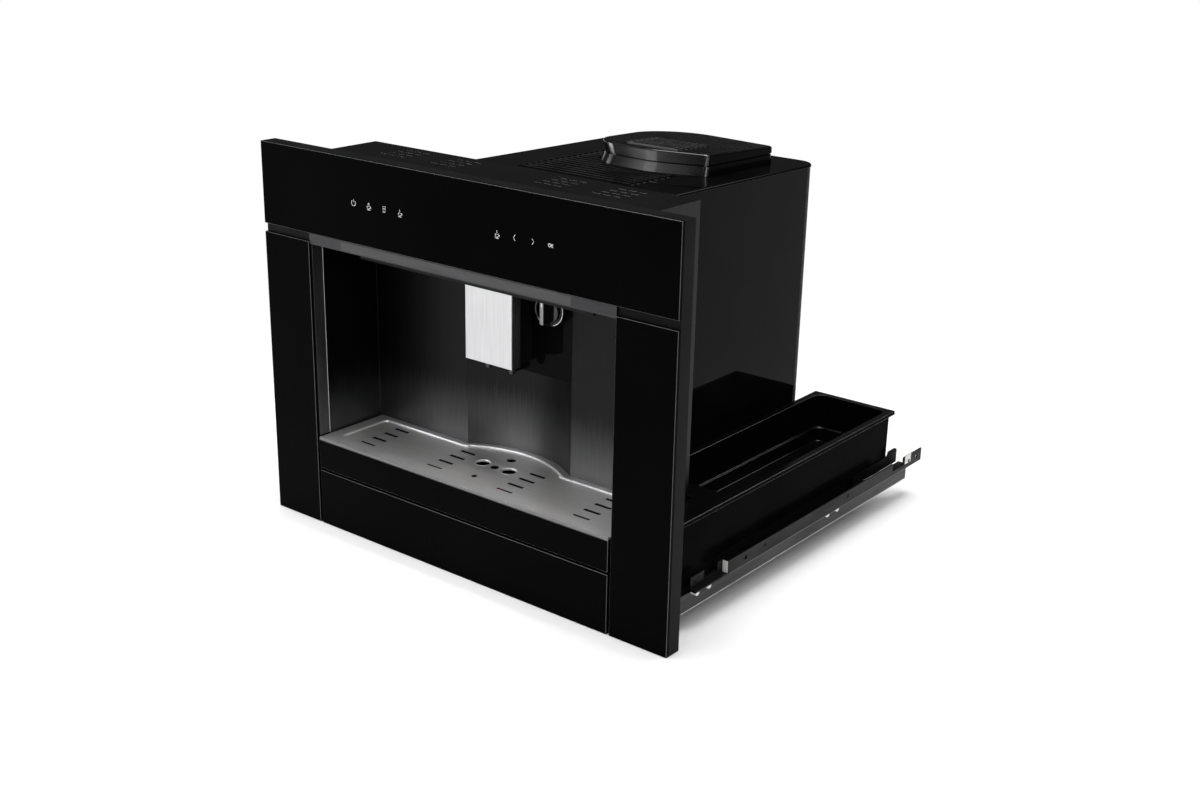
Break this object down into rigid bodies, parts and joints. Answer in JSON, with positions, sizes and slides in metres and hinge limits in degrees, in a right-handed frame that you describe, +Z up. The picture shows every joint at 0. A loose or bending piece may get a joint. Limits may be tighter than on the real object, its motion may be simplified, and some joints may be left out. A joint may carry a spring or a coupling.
{
  "type": "built in coffee machine",
  "caption": "Built in bean-to-cup coffee machine on pull-out rails, black glass front with a lit cup niche, height-set spout, steam knob, drip tray and bean hopper.",
  "frame": {"origin": "bottom centre of the whole machine, on the front's lower edge height", "axes": "+X right seen from the front, +Y to the back, +Z up"},
  "size_m": [0.595, 0.575, 0.455],
  "materials": {
    "painted_steel": "fine satin dark grey powder coat",
    "zinc_steel": "zinc plated, dull",
    "white_nylon": "satin",
    "black_glass": "polished, opaque black behind",
    "strip_steel": "fine brushed",
    "lamp_lens": "frosted diffuser",
    "circuit_board": "solder mask",
    "dark_brushed_steel": "dark brushed",
    "gloss_black": "polished",
    "matte_black": "fine grain",
    "burr_steel": "ground",
    "motor_steel": "lacquered",
    "brewer_plastic": "satin",
    "cast_aluminium": "as cast",
    "hose_rubber": "silicone",
    "valve_brass": "machined",
    "tank_plastic": "clear smoke grey",
    "silver_face": "satin silver",
    "chrome_trim": "polished",
    "brushed_grid": "brushed",
    "float_red": "satin"
  },
  "bodies": {
    "cabinet_rails": {"cabinet_bracket_left": "painted_steel", "cabinet_bracket_right": "painted_steel", "outer_rail_left": "zinc_steel", "outer_rail_right": "zinc_steel", "rail_pads": "white_nylon"},
    "middle_rails": {"middle_rail_left": "zinc_steel", "middle_rail_right": "zinc_steel"},
    "machine": {"inner_rail_left": "zinc_steel", "inner_rail_right": "zinc_steel", "base_pan": "painted_steel", "deck": "zinc_steel", "front_frame": "painted_steel", "control_glass": "black_glass", "side_glass_left": "black_glass", "side_glass_right": "black_glass", "header_strip": "strip_steel", "niche_lamp": "lamp_lens", "touch_board": "circuit_board", "chassis": "painted_steel", "niche_liner": "dark_brushed_steel", "centre_panel": "dark_brushed_steel", "spout_housing": "gloss_black", "tray_shelf": "painted_steel", "side_panel_left": "gloss_black", "side_panel_right": "gloss_black", "rear_cover": "matte_black", "top_cover": "gloss_black", "cup_rack": "gloss_black", "bean_hopper": "matte_black", "lid_pin": "zinc_steel", "upper_burr": "burr_steel", "grinder_housing": "matte_black", "grinder_motor": "motor_steel", "brew_frame": "brewer_plastic", "brew_chamber": "brewer_plastic", "thermoblock": "cast_aluminium", "pump": "motor_steel", "water_hose": "hose_rubber", "steam_valve": "valve_brass", "power_board": "circuit_board", "mains_inlet": "matte_black", "cover_screws": "zinc_steel", "knob_ring": "chrome_trim"},
    "bean_lid": {"bean_lid": "gloss_black"},
    "grinder_burr": {"lower_burr": "burr_steel"},
    "brew_piston": {"brew_piston": "brewer_plastic"},
    "water_tank": {"water_tank": "tank_plastic"},
    "tank_lid": {"tank_lid": "gloss_black"},
    "side_tray": {"side_tray": "gloss_black"},
    "coffee_spout": {"spout_body": "matte_black", "spout_face": "silver_face", "coffee_nozzles": "matte_black"},
    "steam_knob": {"steam_knob": "matte_black"},
    "drip_tray": {"tray_glass": "black_glass", "drip_tray": "matte_black", "drip_grid": "brushed_grid"},
    "tray_float": {"tray_float": "float_red"},
    "grounds_drawer": {"drawer_glass": "black_glass", "drawer": "matte_black", "grounds_container": "brewer_plastic"}
  },
  "joints": [
    {"name": "pull_out", "type": "slide", "parent": "cabinet_rails", "child": "machine", "axis": [0, -1, 0], "range_m": [0, 0.33]},
    {"name": "middle_slide", "type": "slide", "parent": "cabinet_rails", "child": "middle_rails", "axis": [0, -1, 0], "range_m": [0, 0.165]},
    {"name": "lid_hinge", "type": "hinge", "parent": "machine", "child": "bean_lid", "pos_m": [0.02, 0.17955, 0.42873], "axis": [-1, 0, 0], "range_deg": [0, 85]},
    {"name": "grinder_spin", "type": "hinge", "parent": "machine", "child": "grinder_burr", "pos_m": [0.012, 0.1175, 0.276], "axis": [0, 0, 1], "continuous": true},
    {"name": "piston_slide", "type": "slide", "parent": "machine", "child": "brew_piston", "axis": [0, 0, -1], "range_m": [0, 0.04]},
    {"name": "tank_lift", "type": "slide", "parent": "machine", "child": "water_tank", "axis": [0, 0, 1], "range_m": [0, 0.12]},
    {"name": "tank_lid_lift", "type": "slide", "parent": "water_tank", "child": "tank_lid", "axis": [0, 0, 1], "range_m": [0, 0.05]},
    {"name": "side_tray_lift", "type": "slide", "parent": "machine", "child": "side_tray", "axis": [0, 0, 1], "range_m": [0, 0.09]},
    {"name": "spout_height", "type": "slide", "parent": "machine", "child": "coffee_spout", "axis": [0, 0, -1], "range_m": [0, 0.05]},
    {"name": "knob_turn", "type": "hinge", "parent": "machine", "child": "steam_knob", "pos_m": [0.059, -0.1975, 0.303], "axis": [0, 1, 0], "range_deg": [0, 110]},
    {"name": "drip_tray_slide", "type": "slide", "parent": "machine", "child": "drip_tray", "axis": [0, -1, 0], "range_m": [0, 0.135]},
    {"name": "float_rise", "type": "slide", "parent": "drip_tray", "child": "tray_float", "axis": [0, 0, 1], "range_m": [0, 0.008]},
    {"name": "drawer_slide", "type": "slide", "parent": "machine", "child": "grounds_drawer", "axis": [0, -1, 0], "range_m": [0, 0.29]}
  ],
  "couplings": [
    {"joint": "middle_slide", "follows": "pull_out", "ratio": 0.5}
  ]
}
